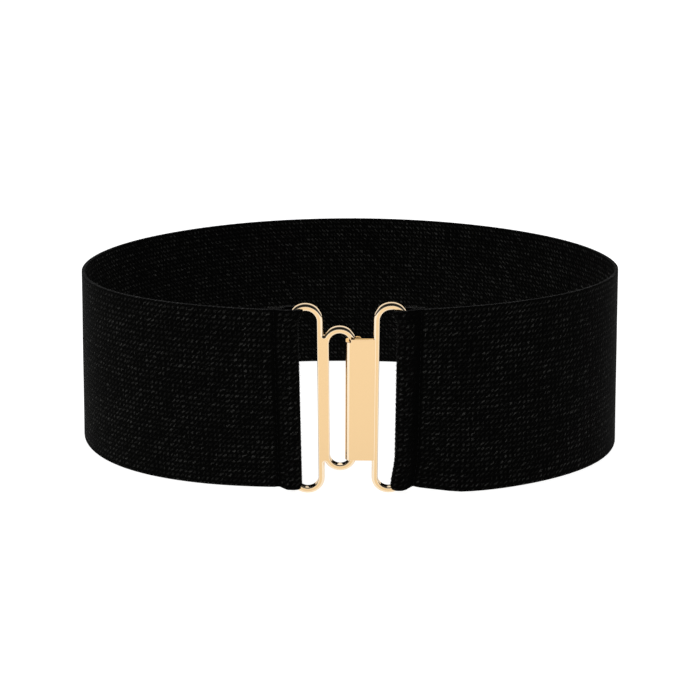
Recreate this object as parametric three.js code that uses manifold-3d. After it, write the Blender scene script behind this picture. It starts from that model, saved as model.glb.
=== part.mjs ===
// Wide elastic stretch belt, closed into a loop by a hook-and-eye clasp.
// Millimetres, +Z up. The belt stands on its lower edge with the clasp at the front, towards -Y.
import * as THREE from 'three';
import { mergeVertices } from 'three/addons/utils/BufferGeometryUtils.js';
import Module from 'manifold-3d';

const wasm = await Module();
wasm.setup();

// The elastic band: its own sizes, and the oval that it takes when it stands closed
const bandWidth = 75;
const bandThickness = 1.4;
const loopHalfWidth = 114;
const loopFrontDepth = 69;
const loopBackDepth = 87.7;

// The band's folded ends
const seamInset = 9.1;
const foldSlack = 0.35;
const layerGap = 0.3;
const foldNarrowing = 2;
const fadeLength = 18;
const cornerLength = 14;

// The clasp's metal
const metalThickness = 3.2;
const edgeRadius = 0.5;
const ringWidth = 13.4;
const ringBar = 2.4;
const ringOverhang = 1.6;
const eyeHeight = 59.5;
const eyeWidth = 12.9;
const eyeBar = 2.4;
const fuseOverlap = 0.3;
const plateWidth = 12.8;
const plateHeight = 50;
const plateWall = 1.3;
const plateEdgeRadius = 0.3;
const rollRadius = 2;
const returnReach = 1.6;
const returnCorner = 1.5;
const returnDrop = 0.8;

// Where the clasp's two halves sit
const hookRingX = 15.15;
const claspInset = 0.8;
const hookLean = 0.3;
const eyeLean = -0.1;
const claspRise = 0.3;
const eyeDrop = 0.9;
const plateRise = -0.1;
const eyeRise = 0.4;

// Running gaps
const pieceGap = 0.3;
const hookClearance = 0.6;

// How far the facets are divided
const loopSegments = 112;
const turnSegments = 10;
const tubeSegments = 6;
const heightSteps = 4;
const arcSegments = 7;
const bevelSegments = 2;

// How much fuller or flatter than an ellipse each quarter of the loop is, as a share of its radius
const quarters = [
  { name: 'back right', fullness: -0.0115 },
  { name: 'back left', fullness: -0.0128 },
  { name: 'front left', fullness: 0.0374 },
  { name: 'front right', fullness: -0.0033 },
];

// How far the lower edge leans out round the loop, as a share of the band's width
const leans = [
  { turn: 0, out: 0.040 },
  { turn: 30, out: 0.025 },
  { turn: 60, out: 0.015 },
  { turn: 90, out: -0.022 },
  { turn: 120, out: 0.040 },
  { turn: 150, out: 0.057 },
  { turn: 180, out: 0.067 },
  { turn: 210, out: 0.033 },
  { turn: 240, out: 0 },
  { turn: 270, out: 0 },
  { turn: 300, out: 0.078 },
  { turn: 330, out: 0.096 },
];

// Each folded end: slack round the bar as a share of the fold's slack, the hem past the seam as a
// share of the seam's inset, the reach of the drawn-in edge as a share of the fade length, the
// fold's lean as a slope, and how far its lower corner bulges towards the clasp as a share of the bar
const ends = {
  eye: { side: -1, slack: 0.1, hem: 0.30, reach: 1.4, slope: 0.009, corner: 0 },
  hook: { side: 1, slack: 1, hem: 0.17, reach: 0.4, slope: 0.006, corner: 0.6 },
};

// Values that follow from the sizes
const ringHeight = bandWidth + 2 * ringOverhang;
const hookFaceY = -loopFrontDepth + claspInset;
const eyeFaceY = hookFaceY + plateWall + pieceGap;
const eyeZ = bandWidth / 2 + claspRise;
const hookZ = eyeZ + eyeDrop;
const barRightX = hookRingX - ringWidth / 2 + ringBar;
const plateLeftX = barRightX - plateWidth;
const eyeBarLeftX = plateLeftX + plateWall + hookClearance;
const eyeX = eyeBarLeftX - (eyeWidth / 2 - eyeBar);
const eyeRingX = eyeX - eyeWidth / 2 + fuseOverlap - ringWidth / 2;
const eyeInnerRadius = eyeWidth / 2 - eyeBar;
const sway = Math.sin(THREE.MathUtils.degToRad(hookLean - eyeLean)) * eyeHeight / 2;
const wallInEye = eyeInnerRadius - hookClearance + sway;
const eyeArcRise = Math.sqrt(Math.max(0, (eyeInnerRadius - pieceGap) ** 2 - wallInEye ** 2));
const rollTop = (eyeHeight - eyeWidth) / 2 + eyeArcRise + eyeRise - eyeDrop;
const plateTop = plateRise + plateHeight / 2;
const plateFoot = plateRise - plateHeight / 2;
const channelDepth = metalThickness + 2 * pieceGap;
const returnRightX = eyeBarLeftX + eyeBar + returnReach;

// Plain helpers
const lerp = THREE.MathUtils.lerp;
const smooth = (value, from, to) => THREE.MathUtils.smoothstep(value, Math.min(from, to), Math.max(from, to));

function toSolid(geometry) {
  const bare = geometry.clone();
  bare.deleteAttribute('normal');
  bare.deleteAttribute('uv');
  const merged = mergeVertices(bare, 1e-4);
  return new wasm.Manifold(new wasm.Mesh({
    numProp: 3,
    vertProperties: new Float32Array(merged.attributes.position.array),
    triVerts: new Uint32Array(merged.index.array),
  }));
}

function toGeometry(solid) {
  const mesh = solid.getMesh();
  const geometry = new THREE.BufferGeometry();
  geometry.setAttribute('position', new THREE.BufferAttribute(mesh.vertProperties, 3));
  geometry.setIndex(new THREE.BufferAttribute(mesh.triVerts, 1));
  geometry.computeVertexNormals();
  return geometry;
}

// The loop's outer surface in plan, turned anticlockwise from the right-hand side
function ovalPoint(turn) {
  const cycle = ((turn % 360) + 360) % 360;
  const angle = THREE.MathUtils.degToRad(cycle);
  const { fullness } = quarters[Math.min(3, Math.floor(cycle / 90))];
  const swell = 1 + fullness * Math.sin(2 * angle) ** 2;
  const depth = cycle < 180 ? loopBackDepth : loopFrontDepth;
  return new THREE.Vector2(loopHalfWidth * Math.cos(angle) * swell, depth * Math.sin(angle) * swell);
}

function outwardAt(turn) {
  const step = 0.5;
  const along = ovalPoint(turn + step).sub(ovalPoint(turn - step)).normalize();
  return new THREE.Vector2(along.y, -along.x);
}

// The front turn at which the loop's outer surface stands at a given x
function turnAtX(x) {
  let low = 181;
  let high = 359;
  for (let round = 0; round < 40; round += 1) {
    const middle = (low + high) / 2;
    if (ovalPoint(middle).x < x) low = middle;
    else high = middle;
  }
  return (low + high) / 2;
}

// Catmull-Rom reading of the lean table at any turn
function leanAt(turn) {
  const spacing = 360 / leans.length;
  const place = (((turn % 360) + 360) % 360) / spacing;
  const index = Math.floor(place);
  const row = (offset) => leans[(index + offset + leans.length) % leans.length].out;
  const curve = new THREE.CatmullRomCurve3(
    [-1, 0, 1, 2].map((offset) => new THREE.Vector3(offset, row(offset), 0)), false, 'catmullrom', 0.5);
  return curve.getPoint((1 + place - index) / 3).y;
}

// The bar that each folded end goes round, and the places that follow from it
function endPlaces(name) {
  const { side, slack, hem } = ends[name];
  const ringX = name === 'hook' ? hookRingX : eyeRingX;
  const faceY = name === 'hook' ? hookFaceY : eyeFaceY;
  const bar = new THREE.Vector2(ringX + side * (ringWidth - ringBar) / 2, faceY + metalThickness / 2);
  const turnX = ringBar / 2 + pieceGap + bandThickness / 2 + slack * foldSlack;
  const turnY = (metalThickness + bandThickness) / 2 + pieceGap;
  const foldX = bar.x - side * (turnX + bandThickness / 2);
  const seamX = foldX + side * seamInset;
  const hemX = seamX + side * hem * seamInset;
  return { side, bar, turnX, turnY, foldX, seamX, hemX };
}

// Half of the band's path that belongs to one end: from the seam round the bar to the raw edge
function foldPath(name) {
  const { side, bar, turnX, turnY, seamX, hemX } = endPlaces(name);
  const turn = turnAtX(seamX);
  const outward = outwardAt(turn);
  const towards = new THREE.Vector2(-outward.y, outward.x).multiplyScalar(-side);
  const outer = ovalPoint(turn).addScaledVector(outward, -bandThickness / 2);
  const inner = outer.clone().addScaledVector(outward, -(bandThickness + layerGap));
  const front = new THREE.Vector2(bar.x, bar.y - turnY);
  const back = new THREE.Vector2(bar.x, bar.y + turnY);
  const handle = Math.abs(seamX - bar.x) * 0.45;
  const level = new THREE.Vector2(side * handle, 0);
  const outerLayer = new THREE.CubicBezierCurve(
    outer, outer.clone().addScaledVector(towards, handle), front.clone().add(level), front);
  const innerLayer = new THREE.CubicBezierCurve(
    back, back.clone().add(level), inner.clone().addScaledVector(towards, handle), inner);
  const points = outerLayer.getPoints(tubeSegments).slice(1);
  for (let step = 1; step <= turnSegments; step += 1) {
    const angle = -Math.PI / 2 + Math.PI * step / turnSegments;
    points.push(new THREE.Vector2(bar.x - side * turnX * Math.cos(angle), bar.y + turnY * Math.sin(angle)));
  }
  points.push(...innerLayer.getPoints(tubeSegments).slice(1));
  const hemTurn = turnAtX(hemX);
  for (let step = 1; step <= 2; step += 1) {
    const at = lerp(turn, hemTurn, step / 2);
    const depth = bandThickness * 1.5 + layerGap;
    points.push(ovalPoint(at).addScaledVector(outwardAt(at), -depth));
  }
  return { turn, points };
}

// The band's middle line in plan, from one raw edge round the loop to the other
function bandPath() {
  const eye = foldPath('eye');
  const hook = foldPath('hook');
  const start = hook.turn - 360;
  const loop = [];
  for (let step = 0; step <= loopSegments; step += 1) {
    const turn = lerp(start, eye.turn, step / loopSegments);
    loop.push(ovalPoint(turn).addScaledVector(outwardAt(turn), -bandThickness / 2));
  }
  return [...hook.points.reverse(), ...loop, ...eye.points];
}

// The band as a ribbon outline: the middle line offset by half the thickness to both sides
function bandOutline() {
  const path = bandPath();
  const left = [];
  const right = [];
  path.forEach((point, index) => {
    const before = path[Math.max(0, index - 1)];
    const after = path[Math.min(path.length - 1, index + 1)];
    const along = after.clone().sub(before).normalize();
    const across = new THREE.Vector2(-along.y, along.x).multiplyScalar(bandThickness / 2);
    left.push(point.clone().add(across));
    right.push(point.clone().sub(across));
  });
  return new THREE.Shape([...right, ...left.reverse()]);
}

// The upright ribbon is leant, drawn in at its folded ends and turned with the clasp's slope
function shapeBand(geometry) {
  const position = geometry.attributes.position;
  const sides = { eye: endPlaces('eye'), hook: endPlaces('hook') };
  for (let index = 0; index < position.count; index += 1) {
    const x = position.getX(index);
    const y = position.getY(index);
    const z = position.getZ(index);
    const name = x < (sides.eye.foldX + sides.hook.foldX) / 2 ? 'eye' : 'hook';
    const { side, seamX } = sides[name];
    const { reach, slope, corner } = ends[name];
    const past = y < 0 ? Math.max(0, side * (x - seamX)) : Infinity;
    const held = 1 - smooth(past, 0, fadeLength);
    const drawn = Math.exp(-past / (reach * fadeLength));
    const depth = y > 0 ? loopBackDepth : loopFrontDepth;
    const turn = THREE.MathUtils.radToDeg(Math.atan2(y / depth, x / loopHalfWidth));
    const low = 1 - z / bandWidth;
    const out = outwardAt(turn).multiplyScalar(leanAt(turn) * bandWidth * low * (1 - held));
    const bulge = corner * ringBar * (1 - smooth(z, 0, cornerLength)) * (1 - smooth(past, 0, seamInset));
    const shift = side * (slope * (z - bandWidth / 2) - bulge) * held;
    position.setXYZ(index, x + out.x + shift, y + out.y, z + foldNarrowing * low * drawn);
  }
  return geometry;
}

// A flat oblong ring with round ends and softened edges, its face towards -Y.
// grow makes it thicker all round, which cuts the room that the band keeps to it.
function oblongRing(width, height, bar, grow = 0) {
  const outline = (shape, halfWidth, halfHeight) => {
    const rise = halfHeight - halfWidth;
    shape.absarc(0, rise, halfWidth, 0, Math.PI, false);
    shape.absarc(0, -rise, halfWidth, Math.PI, 2 * Math.PI, false);
    shape.closePath();
    return shape;
  };
  const shape = outline(new THREE.Shape(), width / 2 + grow, height / 2 + grow);
  shape.holes.push(outline(new THREE.Path(), width / 2 - bar - grow, height / 2 - bar - grow));
  return extrudeForward(shape, metalThickness + 2 * grow, edgeRadius + grow, grow);
}

// Extrudes an upright outline towards -Y, with its softened front face at y = -grow
function extrudeForward(shape, thickness, radius, grow = 0) {
  const geometry = new THREE.ExtrudeGeometry(shape, {
    depth: thickness - 2 * radius,
    bevelThickness: radius,
    bevelSize: radius,
    bevelOffset: -radius,
    bevelSegments,
    curveSegments: arcSegments,
  });
  return geometry.rotateX(Math.PI / 2).translate(0, thickness - radius - grow, 0);
}

// A rectangle with round corners
function roundedPlate(left, right, low, high, radius) {
  const shape = new THREE.Shape();
  shape.absarc(right - radius, high - radius, radius, 0, Math.PI / 2, false);
  shape.absarc(left + radius, high - radius, radius, Math.PI / 2, Math.PI, false);
  shape.absarc(left + radius, low + radius, radius, Math.PI, 1.5 * Math.PI, false);
  shape.absarc(right - radius, low + radius, radius, 1.5 * Math.PI, 2 * Math.PI, false);
  shape.closePath();
  return shape;
}

// The eye half: the ring that holds the band, and the smaller eye cast beside it
function eyeFrame() {
  const ring = toSolid(oblongRing(ringWidth, ringHeight, ringBar));
  const eye = toSolid(oblongRing(eyeWidth, eyeHeight, eyeBar).translate(eyeX - eyeRingX, 0, eyeRise));
  const straight = (eyeHeight - eyeWidth) / 2;
  const left = (ringWidth - ringBar) / 2;
  const right = eyeX - eyeRingX - (eyeWidth - eyeBar) / 2;
  const flush = roundedPlate(left, right, eyeRise - straight, eyeRise + straight, edgeRadius);
  const web = toSolid(extrudeForward(flush, metalThickness, edgeRadius / 2));
  return toGeometry(ring.add(eye).add(web));
}

// Extrudes a section upwards between two heights, with softened ends
function extrudeUp(section, low, high) {
  return new THREE.ExtrudeGeometry(section, {
    depth: high - low - 2 * plateEdgeRadius,
    bevelThickness: plateEdgeRadius,
    bevelSize: plateEdgeRadius,
    bevelOffset: -plateEdgeRadius,
    bevelSegments,
    curveSegments: arcSegments,
  }).translate(0, 0, low + plateEdgeRadius);
}

// The hook half: the ring that holds the band, and the plate whose edge is rolled round the eye's bar.
// The roll passes through the eye's opening, so it ends below the eye's upper arc.
function hookFrame() {
  const ring = toSolid(oblongRing(ringWidth, ringHeight, ringBar));
  const left = plateLeftX - hookRingX;
  const right = (ringBar - ringWidth) / 2;
  const back = 2 * plateWall + channelDepth;
  const inner = Math.max(rollRadius - plateWall, plateEdgeRadius);
  const legEnd = left + rollRadius + plateWall;
  const section = new THREE.Shape();
  section.moveTo(right, 0);
  section.lineTo(right, plateWall);
  section.lineTo(left + plateWall + inner, plateWall);
  section.absarc(left + plateWall + inner, plateWall + inner, inner, 1.5 * Math.PI, Math.PI, true);
  section.absarc(left + plateWall + inner, back - plateWall - inner, inner, Math.PI, 0.5 * Math.PI, true);
  section.lineTo(legEnd, back - plateWall);
  section.lineTo(legEnd, back);
  section.lineTo(left + rollRadius, back);
  section.absarc(left + rollRadius, back - rollRadius, rollRadius, 0.5 * Math.PI, Math.PI, false);
  section.absarc(left + rollRadius, rollRadius, rollRadius, Math.PI, 1.5 * Math.PI, false);
  section.closePath();
  const aboveRoll = new THREE.BoxGeometry(plateWidth, back, plateHeight)
    .translate(left + plateWidth / 2 - fuseOverlap, plateWall + back / 2, rollTop + plateHeight / 2);
  const rolled = toSolid(extrudeUp(section, plateFoot, plateTop)).subtract(toSolid(aboveRoll));
  const tongue = roundedPlate(
    left + rollRadius, returnRightX - hookRingX, plateFoot, plateTop - returnDrop, returnCorner);
  const leg = toSolid(extrudeForward(tongue, plateWall, plateEdgeRadius).translate(0, back - plateWall, 0));
  return toGeometry(ring.add(rolled).add(leg));
}

// The band: the ribbon with the room for both rings cut out of its folded ends
function elasticBand() {
  const ribbon = toSolid(shapeBand(new THREE.ExtrudeGeometry(bandOutline(), {
    depth: bandWidth,
    steps: heightSteps,
    bevelEnabled: false,
  })));
  const room = (lean, x, y, z) => toSolid(oblongRing(ringWidth, ringHeight, ringBar, pieceGap)
    .rotateY(THREE.MathUtils.degToRad(lean))
    .translate(x, y, z));
  return toGeometry(ribbon
    .subtract(room(eyeLean, eyeRingX, eyeFaceY, eyeZ))
    .subtract(room(hookLean, hookRingX, hookFaceY, hookZ)));
}

// Materials
const elasticFabric = new THREE.MeshStandardMaterial({ color: 0x0c0b0c, roughness: 0.95, metalness: 0 });
const goldMetal = new THREE.MeshStandardMaterial({ color: 0xf3d09a, roughness: 0.18, metalness: 1 });

function namedMesh(name, geometry, material) {
  const mesh = new THREE.Mesh(geometry, material);
  mesh.name = name;
  return mesh;
}

// The belt stands on its back's lower edge and on the rings, which hang a little lower
const belt = new THREE.Group();
belt.add(namedMesh('elastic_band', elasticBand(), elasticFabric));

const eyeHalf = namedMesh('eye_frame', eyeFrame(), goldMetal);
eyeHalf.position.set(eyeRingX, eyeFaceY, eyeZ);
eyeHalf.rotation.y = THREE.MathUtils.degToRad(eyeLean);
belt.add(eyeHalf);

const hookHalf = namedMesh('hook_frame', hookFrame(), goldMetal);
hookHalf.position.set(hookRingX, hookFaceY, hookZ);
hookHalf.rotation.y = THREE.MathUtils.degToRad(hookLean);
belt.add(hookHalf);

const ringFoot = eyeZ - ringHeight / 2;
belt.rotation.x = Math.atan2(ringFoot, loopFrontDepth + loopBackDepth);

// The origin is at the bottom centre of the whole belt's box
const group = new THREE.Group();
group.add(belt);
group.updateMatrixWorld(true);
const box = new THREE.Box3().setFromObject(group, true);
const centre = box.getCenter(new THREE.Vector3());
belt.position.set(-centre.x, -centre.y, -box.min.z);
group.updateMatrixWorld(true);

export default group;
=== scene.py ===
"""A wide black elastic belt, standing closed on a pale floor with its pale gold clasp to the front.

Metres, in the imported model's frame: +Z up, the clasp towards -Y.
"""
from bisect import bisect_right
from math import atan2, cos, degrees, exp, pi, radians, sin, sqrt
from random import Random

import bmesh
import bpy
from mathutils import Matrix, Vector, noise
from mathutils.bvhtree import BVHTree


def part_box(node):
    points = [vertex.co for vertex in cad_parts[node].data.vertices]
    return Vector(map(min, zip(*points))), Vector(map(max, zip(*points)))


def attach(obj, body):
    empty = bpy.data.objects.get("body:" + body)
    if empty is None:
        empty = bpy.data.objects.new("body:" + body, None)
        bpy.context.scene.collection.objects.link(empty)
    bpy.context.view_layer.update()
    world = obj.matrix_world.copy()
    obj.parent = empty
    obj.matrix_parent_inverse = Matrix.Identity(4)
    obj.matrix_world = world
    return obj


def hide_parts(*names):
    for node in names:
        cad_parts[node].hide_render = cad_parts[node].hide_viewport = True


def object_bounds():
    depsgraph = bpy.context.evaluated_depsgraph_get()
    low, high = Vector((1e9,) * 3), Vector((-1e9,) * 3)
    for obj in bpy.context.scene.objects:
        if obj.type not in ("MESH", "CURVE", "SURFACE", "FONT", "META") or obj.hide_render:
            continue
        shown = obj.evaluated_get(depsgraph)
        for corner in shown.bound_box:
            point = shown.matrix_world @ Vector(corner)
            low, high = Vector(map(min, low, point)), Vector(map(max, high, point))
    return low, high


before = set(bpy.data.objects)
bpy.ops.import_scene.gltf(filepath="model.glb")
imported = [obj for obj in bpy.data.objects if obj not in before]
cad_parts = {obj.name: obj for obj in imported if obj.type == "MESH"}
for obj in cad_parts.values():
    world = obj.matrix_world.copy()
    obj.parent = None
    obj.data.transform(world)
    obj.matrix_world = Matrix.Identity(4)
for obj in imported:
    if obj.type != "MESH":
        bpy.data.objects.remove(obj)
cad_box = [list(corner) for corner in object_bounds()]

# The band's own sizes, and the oval that it takes when it stands closed
BAND_WIDTH = 0.075
BAND_THICKNESS = 0.0014
LOOP_HALF_WIDTH = 0.114
LOOP_FRONT_DEPTH = 0.069
LOOP_BACK_DEPTH = 0.0877

# The band's folded ends
SEAM_INSET = 0.0091
FOLD_SLACK = 0.00035
LAYER_GAP = 0.0003
FOLD_NARROWING = 0.002
FADE_LENGTH = 0.018
CORNER_LENGTH = 0.014

# The clasp's metal
METAL_THICKNESS = 0.0032
OUTER_ROUNDING = 0.0010
INNER_ROUNDING = 0.0004
JOINT_FILLET = 0.00025
RING_WIDTH = 0.0134
RING_BAR = 0.0024
RING_OVERHANG = 0.0016
EYE_HEIGHT = 0.0595
EYE_WIDTH = 0.0129
EYE_BAR = 0.0024
FUSE_OVERLAP = 0.0003
PLATE_WIDTH = 0.0128
PLATE_HEIGHT = 0.0500
PLATE_WALL = 0.0013
PLATE_EDGE_RADIUS = 0.00012
PLATE_SETBACK = 0.00003
ROLL_RADIUS = 0.0020
RETURN_REACH = 0.0016
RETURN_CORNER = 0.0015
RETURN_DROP = 0.0008
# Where the rolled plate's curve takes the lighter gold: a painted sheen
SHEEN_START = radians(15)
SHEEN_STOP = radians(45)

# Where the clasp's two halves sit, in the belt's own upright frame
HOOK_RING_X = 0.01515
CLASP_INSET = 0.0008
HOOK_LEAN = radians(0.3)
EYE_LEAN = radians(-0.1)
CLASP_RISE = 0.0003
EYE_DROP = 0.0009
PLATE_RISE = -0.0001
EYE_RISE = 0.0004
PIECE_GAP = 0.0003
HOOK_CLEARANCE = 0.0006

# How much fuller than an ellipse each quarter of the loop is, as a share of its radius, fitted to the
# photograph's outline: back right, back left, front left, front right
FULLNESS = (-0.0115, -0.0128, 0.0374, -0.0033)

# The lower edge leans out round the loop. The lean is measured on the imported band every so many
# degrees, by a level ray from outside, at a height that is a share of the band's width.
LEAN_STEP = 30
LEAN_LOOK = 0.015
LEAN_HEIGHT = 0.2

# Each folded end, as shares: slack of the fold's slack, hem of the seam's inset, reach of the fade
# length and corner of the ring's bar; slope is the fold's own lean, and dip how far its foot hangs
ENDS = {
    "eye": {"side": -1, "slack": 0.1, "hem": 0.30, "reach": 1.4, "slope": 0.009, "corner": 0.0,
            "dip": 0.0010},
    "hook": {"side": 1, "slack": 1.0, "hem": 0.17, "reach": 0.4, "slope": 0.006, "corner": 0.6,
             "dip": 0.0006},
}

# Sizes that follow
RING_HEIGHT = BAND_WIDTH + 2 * RING_OVERHANG
HOOK_FACE_Y = -LOOP_FRONT_DEPTH + CLASP_INSET
EYE_FACE_Y = HOOK_FACE_Y + PLATE_WALL + PIECE_GAP
EYE_Z = BAND_WIDTH / 2 + CLASP_RISE
HOOK_Z = EYE_Z + EYE_DROP
BAR_RIGHT_X = HOOK_RING_X - RING_WIDTH / 2 + RING_BAR
PLATE_LEFT_X = BAR_RIGHT_X - PLATE_WIDTH
EYE_BAR_LEFT_X = PLATE_LEFT_X + PLATE_WALL + HOOK_CLEARANCE
EYE_X = EYE_BAR_LEFT_X - (EYE_WIDTH / 2 - EYE_BAR)
EYE_RING_X = EYE_X - EYE_WIDTH / 2 + FUSE_OVERLAP - RING_WIDTH / 2
EYE_INNER_RADIUS = EYE_WIDTH / 2 - EYE_BAR
SWAY = sin(HOOK_LEAN - EYE_LEAN) * EYE_HEIGHT / 2
WALL_IN_EYE = EYE_INNER_RADIUS - HOOK_CLEARANCE + SWAY
EYE_ARC_RISE = sqrt((EYE_INNER_RADIUS - PIECE_GAP) ** 2 - WALL_IN_EYE ** 2)
ROLL_TOP = (EYE_HEIGHT - EYE_WIDTH) / 2 + EYE_ARC_RISE + EYE_RISE - EYE_DROP
PLATE_TOP = PLATE_RISE + PLATE_HEIGHT / 2
PLATE_FOOT = PLATE_RISE - PLATE_HEIGHT / 2
CHANNEL_DEPTH = METAL_THICKNESS + 2 * PIECE_GAP
RETURN_RIGHT_X = EYE_BAR_LEFT_X + EYE_BAR + RETURN_REACH
TILT = atan2(EYE_Z - RING_HEIGHT / 2, LOOP_FRONT_DEPTH + LOOP_BACK_DEPTH)

# The camera, fitted to the photograph's outline
CAMERA_PLACE = Vector((0.00075, -0.48562, 0.20773))
CAMERA_PITCH = radians(19.765)
FOCAL_PIXELS = 1150
PICTURE_PIXELS = 700
SENSOR_WIDTH = 36
NEAREST = 0.01

# The studio. Each pair of levels is a span of the direction looked in, from which the world's light
# changes between the pair of shades that follows.
BACK_BRIGHTNESS = 1.6
BEHIND_LEVELS = (-0.15, 0.45)
BEHIND_SHADES = (0.06, 1.0)
OVERHEAD_LEVELS = (0.42, 0.62)
OVERHEAD_SHADES = (1.0, 0.10)
CEILING_PLACE = (0, 0, 4)
CEILING_SIZE = 8
CEILING_RADIANCE = 0.70
WINDOW_PLACE = (-2.2, -1.6, 1.6)
WINDOW_SIZE = 1.6
WINDOW_RADIANCE = 4.0
FLOOR_HALF_WIDTH = 30
FLOOR_GREY = 0.45
FLOOR_GLOW = 0.90
FLOOR_GAP = 0.00005


def set_camera():
    data = bpy.data.cameras.new("camera")
    data.sensor_width = SENSOR_WIDTH
    data.lens = FOCAL_PIXELS * data.sensor_width / PICTURE_PIXELS
    data.clip_start = NEAREST
    camera = bpy.data.objects.new("camera", data)
    camera.location = CAMERA_PLACE
    camera.rotation_euler = (pi / 2 - CAMERA_PITCH, 0, 0)
    bpy.context.scene.collection.objects.link(camera)
    bpy.context.scene.camera = camera


def map_range(tree, source, low, high, to_low, to_high):
    node = tree.nodes.new("ShaderNodeMapRange")
    node.interpolation_type = "SMOOTHSTEP"
    node.inputs["From Min"].default_value = low
    node.inputs["From Max"].default_value = high
    node.inputs["To Min"].default_value = to_low
    node.inputs["To Max"].default_value = to_high
    tree.links.new(source, node.inputs["Value"])
    return node.outputs["Result"]


def calculate(tree, operation, first, second=None, third=None):
    node = tree.nodes.new("ShaderNodeMath")
    node.operation = operation
    for socket, value in zip(node.inputs, (first, second, third)):
        if value is None:
            continue
        if isinstance(value, (int, float)):
            socket.default_value = value
        else:
            tree.links.new(value, socket)
    return node.outputs[0]


def softbox(name, place, size, radiance):
    """A square light of even brightness, turned to the belt. Metal doesn't mirror it."""
    data = bpy.data.lights.new(name, "AREA")
    data.shape = "SQUARE"
    data.size = size
    data.energy = radiance * pi * size * size
    light = bpy.data.objects.new(name, data)
    light.location = place
    light.rotation_euler = (-Vector(place)).to_track_quat("-Z", "Y").to_euler()
    light.visible_glossy = False
    bpy.context.scene.collection.objects.link(light)


def light_room():
    """A pale studio: bright behind the belt, dark overhead and round the camera, with a wide ceiling
    light and a window on the left."""
    world = bpy.data.worlds.new("studio")
    bpy.context.scene.world = world
    world.use_nodes = True
    tree = world.node_tree
    tree.nodes.clear()
    place = tree.nodes.new("ShaderNodeTexCoord")
    split = tree.nodes.new("ShaderNodeSeparateXYZ")
    tree.links.new(place.outputs["Generated"], split.inputs[0])
    behind = map_range(tree, split.outputs["Y"], *BEHIND_LEVELS, *BEHIND_SHADES)
    overhead = map_range(tree, split.outputs["Z"], *OVERHEAD_LEVELS, *OVERHEAD_SHADES)
    shade = tree.nodes.new("ShaderNodeBackground")
    out = tree.nodes.new("ShaderNodeOutputWorld")
    brightness = calculate(tree, "MULTIPLY", behind, overhead)
    tree.links.new(calculate(tree, "MULTIPLY", brightness, BACK_BRIGHTNESS), shade.inputs["Strength"])
    tree.links.new(shade.outputs["Background"], out.inputs["Surface"])
    softbox("ceiling", CEILING_PLACE, CEILING_SIZE, CEILING_RADIANCE)
    softbox("left_window", WINDOW_PLACE, WINDOW_SIZE, WINDOW_RADIANCE)
    bpy.context.scene.view_settings.view_transform = "Standard"


def lay_floor():
    mesh = bpy.data.meshes.new("floor")
    bm = bmesh.new()
    bmesh.ops.create_grid(bm, x_segments=1, y_segments=1, size=FLOOR_HALF_WIDTH)
    bm.to_mesh(mesh)
    bm.free()
    floor = bpy.data.objects.new("floor", mesh)
    floor.location.z = cad_box[0][2] - FLOOR_GAP
    bpy.context.scene.collection.objects.link(floor)
    white = bpy.data.materials.new("white_table")
    white.use_nodes = True
    shader = white.node_tree.nodes["Principled BSDF"]
    shader.inputs["Base Color"].default_value = (FLOOR_GREY, FLOOR_GREY, FLOOR_GREY, 1)
    shader.inputs["Roughness"].default_value = 0.9
    shader.inputs["Specular IOR Level"].default_value = 0.1
    shader.inputs["Emission Color"].default_value = (1, 1, 1, 1)
    shader.inputs["Emission Strength"].default_value = FLOOR_GLOW
    mesh.materials.append(white)


set_camera()
light_room()
lay_floor()

# How finely round things are divided
ARC_STEP = 7.5
ROUNDING_STEPS = 5
PLATE_ROUNDING_STEPS = 3
RETURN_CORNER_STEPS = 5
BEND_STEPS = 6
BEVEL_ANGLE = radians(50)
SHARP_ANGLE = radians(40)
FLAT_WEIGHT = 80
FLAT_SHARE = 0.99
# The slot of the lighter, glossier gold on edges and roundings: a painted highlight
HIGHLIGHT_SLOT = 1

# Points closer than the first of these are one, and so are levels closer than the second
MERGE_DISTANCE = 1e-6
LEVEL_DISTANCE = 1e-7


def add_piece(name, bm, slot, *materials):
    """Makes a named piece that rides on the belt's one body."""
    mesh = bpy.data.meshes.new(name)
    bm.to_mesh(mesh)
    bm.free()
    piece = bpy.data.objects.new(name, mesh)
    bpy.context.scene.collection.objects.link(piece)
    for material in materials:
        mesh.materials.append(material)
    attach(piece, "root")
    return piece


def baked(piece):
    """The piece's mesh with its modifiers applied, as a bmesh."""
    bpy.context.view_layer.update()
    graph = bpy.context.evaluated_depsgraph_get()
    mesh = bpy.data.meshes.new_from_object(piece.evaluated_get(graph))
    bm = bmesh.new()
    bm.from_mesh(mesh)
    bpy.data.meshes.remove(mesh)
    return bm


def scratch_object(name, bm):
    mesh = bpy.data.meshes.new(name)
    bm.to_mesh(mesh)
    bm.free()
    piece = bpy.data.objects.new(name, mesh)
    bpy.context.scene.collection.objects.link(piece)
    return piece


def discard(*pieces):
    for piece in pieces:
        mesh = piece.data
        bpy.data.objects.remove(piece)
        bpy.data.meshes.remove(mesh)


def trace(bm, arcs):
    """A closed upright outline: arcs of (x, z, radius, start, stop) in degrees, joined by straight lines."""
    ends = []
    known = set(bm.edges)
    for x, z, radius, start, stop in arcs:
        first = bm.verts.new((x + radius * cos(radians(start)), 0, z + radius * sin(radians(start))))
        turned = bmesh.ops.spin(
            bm, geom=[first], cent=(x, 0, z), axis=(0, -1, 0), angle=radians(stop - start),
            steps=max(2, round(abs(stop - start) / ARC_STEP)), use_duplicate=False)
        last = next(part for part in turned["geom_last"] if isinstance(part, bmesh.types.BMVert))
        ends.append((first, last))
    for (_, last), (first, _) in zip(ends, ends[1:] + ends[:1]):
        bm.edges.new((last, first))
    return [edge for edge in bm.edges if edge not in known]


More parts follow.
